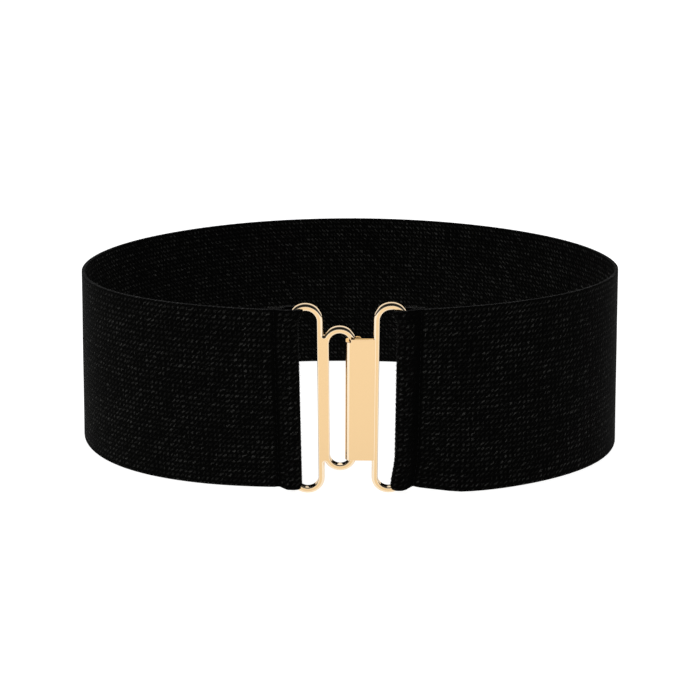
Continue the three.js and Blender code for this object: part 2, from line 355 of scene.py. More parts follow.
def cast(outlines, thickness):
    """One casting from its outlines, each a rounding and the arcs that it has at any inset from its side."""
    bm = bmesh.new()
    face_edges = []
    for rounding, arcs_at in outlines:
        levels = [(0, -thickness / 2)]
        for step in range(ROUNDING_STEPS + 1):
            angle = pi / 2 * step / ROUNDING_STEPS
            levels.append((rounding * (1 - cos(angle)), rounding * (1 - sin(angle)) - thickness))
        before = None
        for inset, depth in levels:
            loop = trace(bm, arcs_at(inset))
            verts = list({vert for edge in loop for vert in edge.verts})
            bmesh.ops.translate(bm, verts=verts, vec=(0, depth, 0))
            if before:
                bmesh.ops.bridge_loops(bm, edges=before + loop)
            before = loop
        face_edges += before
    bmesh.ops.triangle_fill(bm, edges=face_edges, use_beauty=True, normal=(0, -1, 0))
    bmesh.ops.translate(bm, verts=bm.verts[:], vec=(0, thickness / 2, 0))
    bmesh.ops.mirror(bm, geom=bm.verts[:] + bm.edges[:] + bm.faces[:], matrix=Matrix.Identity(4),
                     merge_dist=MERGE_DISTANCE, axis="Y")
    bmesh.ops.translate(bm, verts=bm.verts[:], vec=(0, thickness / 2, 0))
    bmesh.ops.remove_doubles(bm, verts=bm.verts[:], dist=MERGE_DISTANCE)
    bmesh.ops.recalc_face_normals(bm, faces=bm.faces[:])
    # Sides and roundings take the lighter gold, a painted highlight
    for face in bm.faces:
        face.material_index = 0 if abs(face.normal.y) > FLAT_SHARE else HIGHLIGHT_SLOT
    return bm


def oblong(x, z, width, height):
    """The arcs of an upright oblong at any inset from its side."""
    def arcs_at(inset):
        radius = width / 2 - inset
        rise = (height - width) / 2
        return [(x, z + rise, radius, 0, 180), (x, z - rise, radius, 180, 360)]
    return arcs_at


def opening(x, z, width, height):
    """An oblong hole, which grows with the inset instead."""
    arcs_at = oblong(x, z, width, height)
    return lambda inset: arcs_at(-inset)


def eye_outline(inset):
    """The outside of the ring and the eye together, with a small fillet where they meet."""
    eye_x = EYE_X - EYE_RING_X
    ring_radius = RING_WIDTH / 2
    eye_radius = EYE_WIDTH / 2
    ring_rise = RING_HEIGHT / 2 - ring_radius
    eye_rise = EYE_HEIGHT / 2 - eye_radius
    fillet_x = ring_radius + JOINT_FILLET
    lift = sqrt((eye_radius + JOINT_FILLET) ** 2 - (eye_x - fillet_x) ** 2)
    meet = degrees(atan2(lift, eye_x - fillet_x))
    top = EYE_RISE + eye_rise
    foot = EYE_RISE - eye_rise
    return [
        (0, ring_rise, ring_radius - inset, 0, 180),
        (0, -ring_rise, ring_radius - inset, 180, 360),
        (fillet_x, foot - lift, JOINT_FILLET + inset, 180, meet),
        (eye_x, foot, eye_radius - inset, 180 + meet, 360),
        (eye_x, top, eye_radius - inset, 0, 180 - meet),
        (fillet_x, top + lift, JOINT_FILLET + inset, 360 - meet, 180),
    ]


def ring_opening():
    return opening(0, 0, RING_WIDTH - 2 * RING_BAR, RING_HEIGHT - 2 * RING_BAR)


def cast_eye():
    """The eye half in one casting: the ring for the band, with the smaller eye beside it."""
    eye_opening = opening(EYE_X - EYE_RING_X, EYE_RISE, EYE_WIDTH - 2 * EYE_BAR, EYE_HEIGHT - 2 * EYE_BAR)
    outlines = [(OUTER_ROUNDING, eye_outline), (INNER_ROUNDING, ring_opening()),
                (INNER_ROUNDING, eye_opening)]
    bm = cast(outlines, METAL_THICKNESS)
    place = Matrix.Translation((EYE_RING_X, EYE_FACE_Y, EYE_Z)) @ Matrix.Rotation(EYE_LEAN, 4, "Y")
    bmesh.ops.transform(bm, matrix=place, verts=bm.verts[:])
    return bm


def bend_plate():
    """The hook half's plate: sheet metal, its left edge rolled back and on behind the eye's bar."""
    bm = bmesh.new()
    middle = PLATE_WALL / 2
    left = PLATE_LEFT_X - HOOK_RING_X
    turn_x = left + ROLL_RADIUS
    turn_radius = ROLL_RADIUS - middle
    back = 2 * PLATE_WALL + CHANNEL_DEPTH
    leg_top = PLATE_TOP - RETURN_DROP
    start = bm.verts.new((-(RING_WIDTH - RING_BAR) / 2, middle, PLATE_FOOT))
    corner = bm.verts.new((turn_x, middle, PLATE_FOOT))
    bm.edges.new((start, corner))

    def bend(vert, centre_y):
        turned = bmesh.ops.spin(
            bm, geom=[vert], cent=(turn_x, centre_y, PLATE_FOOT), axis=(0, 0, -1), angle=pi / 2,
            steps=BEND_STEPS, use_duplicate=False)
        return next(part for part in turned["geom_last"] if isinstance(part, bmesh.types.BMVert))

    def run_to(vert, x, y):
        end = bm.verts.new((x, y, PLATE_FOOT))
        bm.edges.new((vert, end))
        return end

    side = bend(corner, ROLL_RADIUS)
    side = run_to(side, turn_x - turn_radius, back - ROLL_RADIUS)
    behind = bend(side, back - ROLL_RADIUS)
    run_to(behind, RETURN_RIGHT_X - HOOK_RING_X, back - middle)
    level = bm.edges[:]
    for low, high in ((PLATE_FOOT, ROLL_TOP), (ROLL_TOP, leg_top), (leg_top, PLATE_TOP)):
        grown = bmesh.ops.extrude_edge_only(bm, edges=level)
        moved = [part for part in grown["geom"] if isinstance(part, bmesh.types.BMVert)]
        bmesh.ops.translate(bm, verts=moved, vec=(0, 0, high - low))
        level = [part for part in grown["geom"] if isinstance(part, bmesh.types.BMEdge)
                 and all(abs(vert.co.z - high) < LEVEL_DISTANCE for vert in part.verts)]
    open_above = []
    for face in bm.faces:
        centre = face.calc_center_median()
        rolled = centre.y > middle + MERGE_DISTANCE and centre.x < turn_x and centre.z > ROLL_TOP
        over_leg = centre.y > back / 2 and centre.z > leg_top
        if rolled or over_leg:
            open_above.append(face)
        # A band of the roll takes the lighter gold, a painted sheen
        if SHEEN_START < atan2(turn_x - centre.x, ROLL_RADIUS - centre.y) < SHEEN_STOP:
            face.material_index = HIGHLIGHT_SLOT
    bmesh.ops.delete(bm, geom=open_above, context="FACES")
    leg_right = RETURN_RIGHT_X - HOOK_RING_X
    corners = [vert for vert in bm.verts
               if vert.co.y > back / 2 and abs(vert.co.x - leg_right) < MERGE_DISTANCE
               and (vert.co.z < PLATE_FOOT + MERGE_DISTANCE or vert.co.z > leg_top - MERGE_DISTANCE)]
    bmesh.ops.bevel(bm, geom=corners, offset=RETURN_CORNER, segments=RETURN_CORNER_STEPS, profile=0.5,
                    affect="VERTICES", material=-1)
    bmesh.ops.recalc_face_normals(bm, faces=bm.faces[:])
    bmesh.ops.translate(bm, verts=bm.verts[:], vec=(0, PLATE_SETBACK, 0))
    return bm


def cast_hook():
    """The hook half: the ring for the band with the bent plate fused to its bar."""
    outlines = [(OUTER_ROUNDING, oblong(0, 0, RING_WIDTH, RING_HEIGHT)), (INNER_ROUNDING, ring_opening())]
    ring = cast(outlines, METAL_THICKNESS)
    ring_object = scratch_object("hook_ring", ring)
    plate_object = scratch_object("hook_plate", bend_plate())
    wall = plate_object.modifiers.new("wall", "SOLIDIFY")
    wall.thickness = PLATE_WALL
    wall.offset = 0
    wall.use_even_offset = True
    rounding = plate_object.modifiers.new("rounding", "BEVEL")
    rounding.width = PLATE_EDGE_RADIUS
    rounding.segments = PLATE_ROUNDING_STEPS
    rounding.limit_method = "ANGLE"
    rounding.angle_limit = BEVEL_ANGLE
    # The plate's rounded edges take the lighter gold, a painted highlight
    rounding.material = HIGHLIGHT_SLOT
    for part in (ring_object, plate_object):
        for metal in gold:
            part.data.materials.append(metal)
    fuse = ring_object.modifiers.new("fuse", "BOOLEAN")
    fuse.operation = "UNION"
    fuse.solver = "EXACT"
    fuse.object = plate_object
    bm = baked(ring_object)
    discard(ring_object, plate_object)
    place = Matrix.Translation((HOOK_RING_X, HOOK_FACE_Y, HOOK_Z)) @ Matrix.Rotation(HOOK_LEAN, 4, "Y")
    bmesh.ops.transform(bm, matrix=place, verts=bm.verts[:])
    return bm


def middle_of(low, high):
    return (Vector(low) + Vector(high)) / 2


def to_frame(bm):
    """Where the belt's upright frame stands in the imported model: tilted, with the eye half, given as bm,
    on its CAD node."""
    tilt = Matrix.Rotation(TILT, 4, "X")
    tilted = [tilt @ vert.co for vert in bm.verts]
    low = [min(co[axis] for co in tilted) for axis in range(3)]
    high = [max(co[axis] for co in tilted) for axis in range(3)]
    shift = middle_of(*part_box("eye_frame")) - middle_of(low, high)
    return Matrix.Translation(shift) @ tilt


def polish(piece):
    """Smooth faces with crisp creases, and flats that stay flat."""
    for face in piece.data.polygons:
        face.use_smooth = True
    piece.data.set_sharp_from_angle(angle=SHARP_ANGLE)
    flats = piece.modifiers.new("flats", "WEIGHTED_NORMAL")
    flats.weight = FLAT_WEIGHT
    flats.keep_sharp = True


# The belt's plan, seen from above. A direction is read between two turns this far to each side, in
# degrees. A turn is looked for along the front, by halving it. A length is read just short of the end.
LOOK_ASIDE = 0.5
SHORT_OF_END = 1e-9
FRONT_TURNS = (181, 359)
HALVINGS = 40
HANDLE_SHARE = 0.45
WAY_STEPS = 24
LOOP_STEPS = 600


def loop_point(turn):
    """The loop's outer surface, turned anticlockwise from the right-hand side, in degrees."""
    cycle = turn % 360
    angle = radians(cycle)
    swell = 1 + FULLNESS[int(cycle // 90)] * sin(2 * angle) ** 2
    depth = LOOP_BACK_DEPTH if cycle < 180 else LOOP_FRONT_DEPTH
    return Vector((LOOP_HALF_WIDTH * cos(angle), depth * sin(angle))) * swell


def outward_at(turn):
    along = (loop_point(turn + LOOK_ASIDE) - loop_point(turn - LOOK_ASIDE)).normalized()
    return Vector((along.y, -along.x))


def turn_at(x):
    """The front turn at which the loop's outer surface stands at a given x."""
    low, high = FRONT_TURNS
    for _ in range(HALVINGS):
        middle = (low + high) / 2
        if loop_point(middle).x < x:
            low = middle
        else:
            high = middle
    return (low + high) / 2


def measure_leans(to_upright):
    """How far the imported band's foot leans out at each step of the loop, as a share of the band's width."""
    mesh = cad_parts["elastic_band"].data
    solid = BVHTree.FromPolygons([to_upright @ vert.co for vert in mesh.vertices],
                                 [tuple(face.vertices) for face in mesh.polygons])
    leans = []
    for turn in range(0, 360, LEAN_STEP):
        upright = loop_point(turn).to_3d()
        upright.z = LEAN_HEIGHT * BAND_WIDTH
        outward = outward_at(turn).to_3d()
        hit = solid.ray_cast(upright + outward * LEAN_LOOK, -outward, 2 * LEAN_LOOK)[0]
        out = 0.0 if hit is None else (hit - upright).dot(outward)
        leans.append(out / (BAND_WIDTH * (1 - LEAN_HEIGHT)))
    return leans


def lean_at(turn):
    """A smooth curve through the measured leans."""
    place = turn % 360 / LEAN_STEP
    index = int(place)
    share = place - index
    before, here, after, beyond = (lean_out[(index + step) % len(lean_out)] for step in (-1, 0, 1, 2))
    bend = 2 * before - 5 * here + 4 * after - beyond
    cubic = 3 * (here - after) + beyond - before
    return here + share / 2 * (after - before + share * (bend + share * cubic))


def smooth(value, start, stop):
    share = min(1, max(0, (value - start) / (stop - start)))
    return share * share * (3 - 2 * share)


def bezier(points, share):
    rest = 1 - share
    first, second, third, last = points
    return (first * rest ** 3 + second * 3 * rest ** 2 * share
            + third * 3 * rest * share ** 2 + last * share ** 3)


class FoldedEnd:
    """One end of the band: where its bar, fold, seam and raw edge are, and the way that it takes."""

    def __init__(self, name, ring_x, face_y, ring_z):
        shares = ENDS[name]
        self.side = shares["side"]
        self.reach = shares["reach"]
        self.slope = shares["slope"]
        self.corner = shares["corner"]
        self.dip = shares["dip"]
        self.ring_z = ring_z
        self.bar = Vector((ring_x + self.side * (RING_WIDTH - RING_BAR) / 2, face_y + METAL_THICKNESS / 2))
        self.turn_x = RING_BAR / 2 + PIECE_GAP + BAND_THICKNESS / 2 + shares["slack"] * FOLD_SLACK
        self.turn_y = (METAL_THICKNESS + BAND_THICKNESS) / 2 + PIECE_GAP
        self.fold_x = self.bar.x - self.side * (self.turn_x + BAND_THICKNESS / 2)
        self.seam_x = self.fold_x + self.side * SEAM_INSET
        self.hem_x = self.seam_x + self.side * shares["hem"] * SEAM_INSET
        self.seam_turn = turn_at(self.seam_x)

    def way(self):
        """Points from the seam round the bar to the raw edge, with the stretch that each belongs to."""
        outward = outward_at(self.seam_turn)
        towards = Vector((-outward.y, outward.x)) * -self.side
        outer = loop_point(self.seam_turn) - outward * BAND_THICKNESS / 2
        inner = outer - outward * (BAND_THICKNESS + LAYER_GAP)
        front = Vector((self.bar.x, self.bar.y - self.turn_y))
        back = Vector((self.bar.x, self.bar.y + self.turn_y))
        handle = abs(self.seam_x - self.bar.x) * HANDLE_SHARE
        level = Vector((self.side * handle, 0))
        points = []
        for step in range(1, WAY_STEPS + 1):
            share = step / WAY_STEPS
            points.append((bezier((outer, outer + towards * handle, front + level, front), share), "front"))
        for step in range(1, WAY_STEPS + 1):
            angle = -pi / 2 + pi * step / WAY_STEPS
            aside = Vector((-self.side * self.turn_x * cos(angle), self.turn_y * sin(angle)))
            points.append((self.bar + aside, "turn"))
        for step in range(1, WAY_STEPS + 1):
            share = step / WAY_STEPS
            points.append((bezier((back, back + level, inner + towards * handle, inner), share), "back"))
        hem_turn = turn_at(self.hem_x)
        for step in range(1, WAY_STEPS + 1):
            turn = self.seam_turn + (hem_turn - self.seam_turn) * step / WAY_STEPS
            depth = BAND_THICKNESS * 1.5 + LAYER_GAP
            points.append((loop_point(turn) - outward_at(turn) * depth, "hem"))
        return points


eye_end = FoldedEnd("eye", EYE_RING_X, EYE_FACE_Y, EYE_Z)
hook_end = FoldedEnd("hook", HOOK_RING_X, HOOK_FACE_Y, HOOK_Z)


class BandWay:
    """The band's middle line in plan, from one raw edge round the loop to the other, by its length."""

    def __init__(self):
        start = hook_end.seam_turn - 360
        loop = []
        for step in range(LOOP_STEPS + 1):
            turn = start + (eye_end.seam_turn - start) * step / LOOP_STEPS
            loop.append((loop_point(turn) - outward_at(turn) * BAND_THICKNESS / 2, "loop"))
        marked = hook_end.way()[::-1] + loop + eye_end.way()
        self.points = [point for point, _ in marked]
        self.stretches = [stretch for _, stretch in marked]
        self.reached = [0.0]
        for before, after in zip(self.points, self.points[1:]):
            self.reached.append(self.reached[-1] + (after - before).length)
        self.length = self.reached[-1]
        in_loop = [index for index, stretch in enumerate(self.stretches) if stretch == "loop"]
        self.hook_seam = self.reached[in_loop[0]]
        self.eye_seam = self.reached[in_loop[-1]]
        turning = [self.reached[index] for index, stretch in enumerate(self.stretches) if stretch == "turn"]
        hook_turn = [reach for reach in turning if reach < self.length / 2]
        eye_turn = [reach for reach in turning if reach > self.length / 2]
        self.turns = ((hook_turn[0], hook_turn[-1]), (eye_turn[0], eye_turn[-1]))
        hemmed = [self.reached[index] for index, stretch in enumerate(self.stretches) if stretch == "hem"]
        self.inner_seams = (max(reach for reach in hemmed if reach < self.length / 2),
                            min(reach for reach in hemmed if reach > self.length / 2))

    def at(self, reach):
        """The point at a length along the band, and the outward direction there."""
        reach = min(max(reach, 0), self.length - SHORT_OF_END)
        index = min(bisect_right(self.reached, reach) - 1, len(self.points) - 2)
        low, high = self.reached[index], self.reached[index + 1]
        share = (reach - low) / (high - low)
        point = self.points[index].lerp(self.points[index + 1], share)
        before = self.points[max(index - 1, 0)]
        after = self.points[min(index + 2, len(self.points) - 1)]
        first = (self.points[index + 1] - before).normalized()
        second = (after - self.points[index]).normalized()
        along = first.lerp(second, share).normalized()
        return point, Vector((along.y, -along.x))


band_way = BandWay()

# The cloth's own relief and unevenness
ROW_HEIGHT = 0.00055
FINE_STEP = 0.00055
LOOP_STEP = 0.0042
FINE_PAST_SEAM = 0.004
FLOAT_ALONG = 0.00190
FLOAT_UP = 0.00215
RIB_ANGLE = atan2(FLOAT_UP, FLOAT_ALONG)
RIB_PITCH = FLOAT_ALONG * sin(RIB_ANGLE)
FLOAT_LENGTH = FLOAT_UP / sin(RIB_ANGLE)
FLOAT_STEP = FLOAT_ALONG * cos(RIB_ANGLE) / FLOAT_LENGTH
RIB_DEPTH = 0.00007
SEAM_DENT = 0.00030
SEAM_SPREAD = 0.0011
# How wide each seam's dark band of painted shade is, on its loop side and on its fold side
SEAM_SHADE = {"hook": (0.0012, 0.0048), "eye": (0.0014, 0.0017)}
SHADE_STEEPNESS = 4
WAVE_DEPTH = 0.00022
WAVE_LENGTH = 0.045
ARC_SQUEEZE_TOP = 0.0022
ARC_SQUEEZE_FOOT = 0.0006
SQUEEZE_START = 0.0026
SQUEEZE_FULL = 0.0038
DIP_REACH = 0.004
DIP_HEIGHT = 0.02
CORNER_PULL = 0.0024
CORNER_HEIGHT = 0.0065
CORNER_DEPTH = 0.0012

# Stands for how far the back of the loop is past either seam
FAR_PAST = 10.0


def relief(reach, height):
    """How far the woven surface stands proud of the band's middle surface."""
    to_seam = min(abs(reach - band_way.hook_seam), abs(reach - band_way.eye_seam))
    near_fold = 1 - smooth(min(reach - band_way.hook_seam, band_way.eye_seam - reach), 0, FINE_PAST_SEAM)
    rib = sin(2 * pi * (reach * sin(RIB_ANGLE) - height * cos(RIB_ANGLE)) / RIB_PITCH)
    wave = noise.noise(Vector((reach / WAVE_LENGTH, height / WAVE_LENGTH, 0)))
    dent = SEAM_DENT * exp(-(to_seam / SEAM_SPREAD) ** 2)
    return RIB_DEPTH * rib * near_fold + WAVE_DEPTH * wave * (1 - near_fold) - dent


def pressed_shade_at(reach):
    """How much the seam's stitches flatten the cloth and painted shade from its dent darkens it, from 0 to 1.
    """
    shade = 0
    for name, past in (("hook", band_way.hook_seam - reach), ("eye", reach - band_way.eye_seam)):
        loop_side, fold_side = SEAM_SHADE[name]
        width = fold_side if past > 0 else loop_side
        shade = max(shade, exp(-(past / width) ** SHADE_STEEPNESS))
    return shade


def squeezed(reach, height):
    """The band is drawn together where it passes through a ring between its two round ends."""
    for (start, stop), end in zip(band_way.turns, (hook_end, eye_end)):
        inside = min(reach - start, stop - reach)
        if inside > 0:
            most = ARC_SQUEEZE_TOP if height > end.ring_z else ARC_SQUEEZE_FOOT
            amount = smooth(inside, SQUEEZE_START, SQUEEZE_FULL) * most
            return height + (end.ring_z - height) * amount / (BAND_WIDTH / 2)
    return height


def stand(reach, height, proud=0.0):
    """Where a point of the flat band comes to stand, in the belt's upright frame."""
    point, outward = band_way.at(reach)
    point = point + outward * (relief(reach, height) + proud)
    height = squeezed(reach, height)
    end = eye_end if point.x < (eye_end.fold_x + hook_end.fold_x) / 2 else hook_end
    past = max(0, end.side * (point.x - end.seam_x)) if point.y < 0 else FAR_PAST
    held = 1 - smooth(past, 0, FADE_LENGTH)
    drawn = exp(-past / (end.reach * FADE_LENGTH))
    depth = LOOP_BACK_DEPTH if point.y > 0 else LOOP_FRONT_DEPTH
    turn = degrees(atan2(point.y / depth, point.x / LOOP_HALF_WIDTH))
    low = 1 - height / BAND_WIDTH
    out = outward_at(turn) * lean_at(turn) * BAND_WIDTH * low * (1 - held)
    bulge = (end.corner * RING_BAR * (1 - smooth(height, 0, CORNER_LENGTH))
             * (1 - smooth(past, 0, SEAM_INSET)))
    shift = end.side * (end.slope * (height - BAND_WIDTH / 2) - bulge) * held
    in_fold = smooth(end.side * (end.seam_x - point.x), 0, DIP_REACH) if point.y < 0 else 0.0
    dip = end.dip * in_fold * (1 - smooth(height, 0, DIP_HEIGHT))
    in_front = smooth(end.bar.y - point.y, -CORNER_DEPTH, CORNER_DEPTH)
    at_top = smooth(height, BAND_WIDTH - CORNER_HEIGHT, BAND_WIDTH)
    shift -= end.side * CORNER_PULL * in_fold * in_front * at_top
    return Vector((point.x + out.x + shift, point.y + out.y, height + FOLD_NARROWING * low * drawn - dip))


def column_reaches():
    """Where the cloth's upright columns are: close together in the folded ends, wider round the loop."""
    first = band_way.hook_seam + FINE_PAST_SEAM
    last = band_way.eye_seam - FINE_PAST_SEAM
    reaches = []
    spans = ((0, first, FINE_STEP), (first, last, LOOP_STEP), (last, band_way.length, FINE_STEP))
    for start, stop, step in spans:
        count = round((stop - start) / step)
        reaches += [start + (stop - start) * index / count for index in range(count)]
    return reaches + [band_way.length]


def weave_band():
    """The whole band as one flat grid of cloth, folded and stood up, with its flat place kept as its UV."""
    reaches = column_reaches()
    rows = round(BAND_WIDTH / ROW_HEIGHT)
    bm = bmesh.new()
    bmesh.ops.create_grid(bm, x_segments=len(reaches) - 1, y_segments=rows, size=1)
    laid_out = bm.loops.layers.uv.new("laid_out")
    pressed_shade = bm.verts.layers.float.new("pressed_shade")
    flat = {}
    for vert in bm.verts:
        column = round((vert.co.x + 1) / 2 * (len(reaches) - 1))
        flat[vert] = (reaches[column], (vert.co.y + 1) / 2 * BAND_WIDTH)
    for face in bm.faces:
        face.smooth = True
        for loop in face.loops:
            loop[laid_out].uv = flat[loop.vert]
    for vert in bm.verts:
        vert.co = stand(*flat[vert])
        # Painted shade of the seam's dent, with the stitches' flattening, kept on each point
        vert[pressed_shade] = pressed_shade_at(flat[vert][0])
    return bm


# Thread and loose fibre, as real shapes. Each length of fibre is a shortest and a longest.
STITCH_PITCH = 0.0026
STITCH_LENGTH = 0.0021
STITCH_SIDES = 8
STITCH_RINGS = 6
THREAD_RADIUS = 0.00016
FIBRE_SEED = 11
FIBRE_SIDES = 3
FIBRE_RADIUS = 0.00004
FIBRE_RISE = 0.5
FIBRE_LEAN = 0.7
SELVEDGE_FIBRE_PITCH = 0.0011
SELVEDGE_FIBRE_LENGTH = (0.0002, 0.0006)
FOLD_FIBRE_PITCH = 0.0004
FOLD_FIBRE_LENGTH = (0.0002, 0.0007)
FOLD_FIBRE_SPREAD = 0.0012
HEM_FIBRE_PITCH = 0.0003
HEM_FIBRE_LENGTH = (0.0004, 0.0013)
CORNER_FIBRES = 80
CORNER_FIBRE_LENGTH = (0.0004, 0.0012)
CORNER_FIBRE_REACH = 0.009
CORNER_FIBRE_LEAN = 0.4


def sew_seams():
    """Upright rows of stitches through both layers, seen on the outside and on the inside."""
    bm = bmesh.new()
    count = int(BAND_WIDTH / STITCH_PITCH)
    for reach in (band_way.hook_seam, band_way.eye_seam, *band_way.inner_seams):
        for index in range(count):
            height = (index + 0.5) * BAND_WIDTH / count
            size = Matrix.Diagonal((THREAD_RADIUS, THREAD_RADIUS, STITCH_LENGTH / 2, 1))
            place = Matrix.Translation(stand(reach, height, BAND_THICKNESS / 2)) @ size
            bmesh.ops.create_uvsphere(bm, u_segments=STITCH_SIDES, v_segments=STITCH_RINGS, radius=1,
                                      matrix=place)
    for face in bm.faces:
        face.smooth = True
    return bm


def add_fibre(bm, root, direction, length):
    direction = direction.normalized()
    turned = direction.to_track_quat("Z", "Y").to_matrix().to_4x4()
    place = Matrix.Translation(root + direction * length / 2) @ turned
    bmesh.ops.create_cone(bm, cap_ends=True, segments=FIBRE_SIDES, radius1=FIBRE_RADIUS,
                          radius2=FIBRE_RADIUS / 2, depth=length, matrix=place)


def fray_band():
    """Loose fibres: short ones on the top selvedge and the folds, longer ones on the two raw ends."""
    chance = Random(FIBRE_SEED)
    bm = bmesh.new()
    half = BAND_THICKNESS / 2
    up = Vector((0, 0, FIBRE_RISE))

    def lean(amount=FIBRE_LEAN):
        return Vector([chance.uniform(-amount, amount) for _ in range(3)])

    for index in range(int(band_way.length / SELVEDGE_FIBRE_PITCH)):
        reach = (index + chance.random()) * SELVEDGE_FIBRE_PITCH
        root = stand(reach, BAND_WIDTH, chance.uniform(-half, half))
        add_fibre(bm, root, up + lean(), chance.uniform(*SELVEDGE_FIBRE_LENGTH))
    for (start, stop), end in zip(band_way.turns, (hook_end, eye_end)):
        for index in range(int(BAND_WIDTH / FOLD_FIBRE_PITCH)):
            height = (index + chance.random()) * FOLD_FIBRE_PITCH
            reach = (start + stop) / 2 + chance.uniform(-FOLD_FIBRE_SPREAD, FOLD_FIBRE_SPREAD)
            root = stand(reach, height, half)
            add_fibre(bm, root, Vector((-end.side, 0, 0)) + lean(), chance.uniform(*FOLD_FIBRE_LENGTH))
    for reach, end in ((0, hook_end), (band_way.length, eye_end)):
        away = Vector((end.side, 0, 0))
        for index in range(int(BAND_WIDTH / HEM_FIBRE_PITCH)):
            height = (index + chance.random()) * HEM_FIBRE_PITCH
            root = stand(reach, height, chance.uniform(-half, half))
            add_fibre(bm, root, away + lean(), chance.uniform(*HEM_FIBRE_LENGTH))
        inward = -CORNER_FIBRE_REACH if reach else CORNER_FIBRE_REACH
        for _ in range(CORNER_FIBRES):
            root = stand(reach + inward * chance.random(), BAND_WIDTH, chance.uniform(-half, half))
            add_fibre(bm, root, away * chance.uniform(-1, 1) + up + lean(CORNER_FIBRE_LEAN),
                      chance.uniform(*CORNER_FIBRE_LENGTH))
    return bm


# The weave's unevenness: noise scales in features for each metre, how strongly each noise counts, and
# the levels between which cords, floats and tips of fibre rise
WANDER_SCALE = 600
GRAIN_SCALE = 3000
FLOAT_SCALE = 2100
TIP_SCALE = 1500
PATCH_SCALE = 60
GRAIN_GAIN = 3.0
FLOAT_GAIN = 3.0
FLOAT_WANDER = 0.6
PATCH_GAIN = 3.0
PATCH_LOWEST = 0.15
FIBRE_GAIN = 4.0
LUCK_GAIN = 0.9
LUCK_LOWEST = 0.35
CORD_LEVELS = (-0.6, 1.2)
FLOAT_LEVELS = (-0.8, 1.0)
FLOAT_LOWEST = 0.1
TIP_LEVELS = (0.55, 1.0)

# A sine is lowest a quarter of its period before a whole number, where one cord or float ends
QUARTER = 0.25


